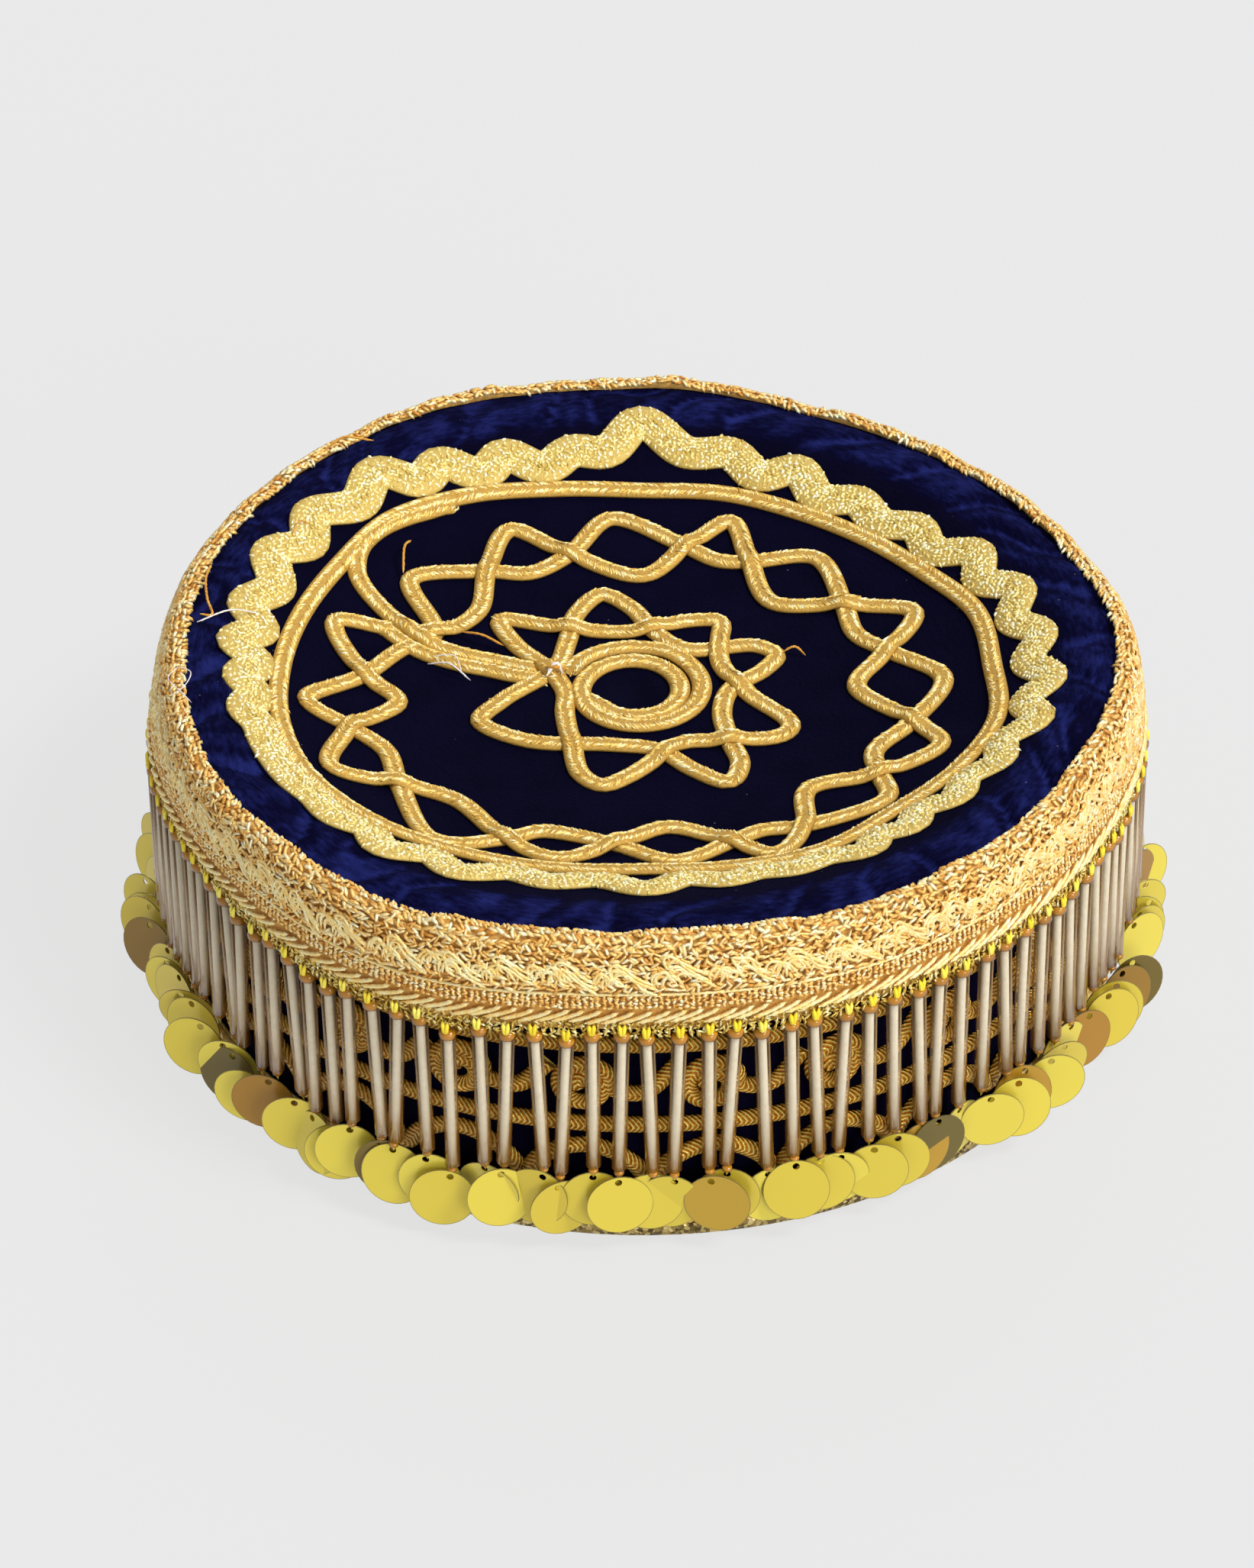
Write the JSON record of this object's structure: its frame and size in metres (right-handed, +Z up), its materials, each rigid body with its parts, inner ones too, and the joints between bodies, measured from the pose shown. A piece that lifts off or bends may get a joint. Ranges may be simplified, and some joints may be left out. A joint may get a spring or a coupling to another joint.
{
  "type": "embroidered afghan cap",
  "caption": "Low round velvet cap with a sunken top, couched gold cord, a scalloped braid, a broad edge braid and a fringe of bugle beads and sequins.",
  "frame": {"origin": "on the floor under the middle of the cap", "axes": "+Z up, +Y towards the back of the cap, where the scalloped braid has its pointed lobe"},
  "size_m": [0.1889, 0.1876, 0.0691],
  "materials": {
    "velvet": "navy cotton velvet, crushed and brighter where it is puckered",
    "glitter_binding": "greenish gold glitter tape",
    "copper_gold_braid": "braid of metallic threads, pinkish copper gold",
    "gold_cord": "cord of warm yellow gold metallic thread",
    "pale_gold_braid": "finely plaited pale gold metallic thread, glittery",
    "glass_beads": "silver-lined clear glass bugles with amber ends",
    "sequins": "thin metallized gold discs",
    "thread": "bright yellow sewing thread",
    "lining": "plain dark cotton"
  },
  "bodies": {
    "root": {"crown_top": "velvet", "side_band": "velvet", "rim_binding": "glitter_binding", "edge_braid": "copper_gold_braid", "hem_braid": "copper_gold_braid", "upper_side_cord": "gold_cord", "lower_side_cord": "gold_cord", "star_cord": "gold_cord", "link_cord": "gold_cord", "chain_cord": "gold_cord", "ring_cord": "gold_cord", "scallop_braid": "pale_gold_braid", "bead_fringe": "glass_beads"}
  },
  "joints": []
}
